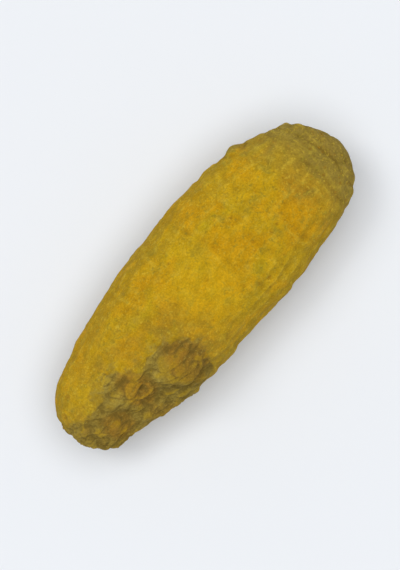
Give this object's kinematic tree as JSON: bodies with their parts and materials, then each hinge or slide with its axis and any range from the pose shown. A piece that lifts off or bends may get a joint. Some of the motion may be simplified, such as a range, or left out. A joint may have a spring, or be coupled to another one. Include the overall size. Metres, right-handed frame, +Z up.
{
  "type": "dried turmeric root",
  "caption": "Dried turmeric finger: a plump spindle of rhizome with faint leaf-scar rings, shallow wrinkles, an oblique corky broken base with low knobs and a blunt tip, lying on its side.",
  "frame": {"origin": "on the surface that the root lies on, under the middle of its bounding box", "axes": "+X along the root from the broken base to the grown tip, +Z up from the surface that it lies on"},
  "size_m": [0.0504, 0.0182, 0.0166],
  "materials": {
    "turmeric_skin": "matt, dusty golden yellow skin, with brown cork on the broken base"
  },
  "bodies": {
    "root": {"turmeric_root": "turmeric_skin"}
  },
  "joints": []
}
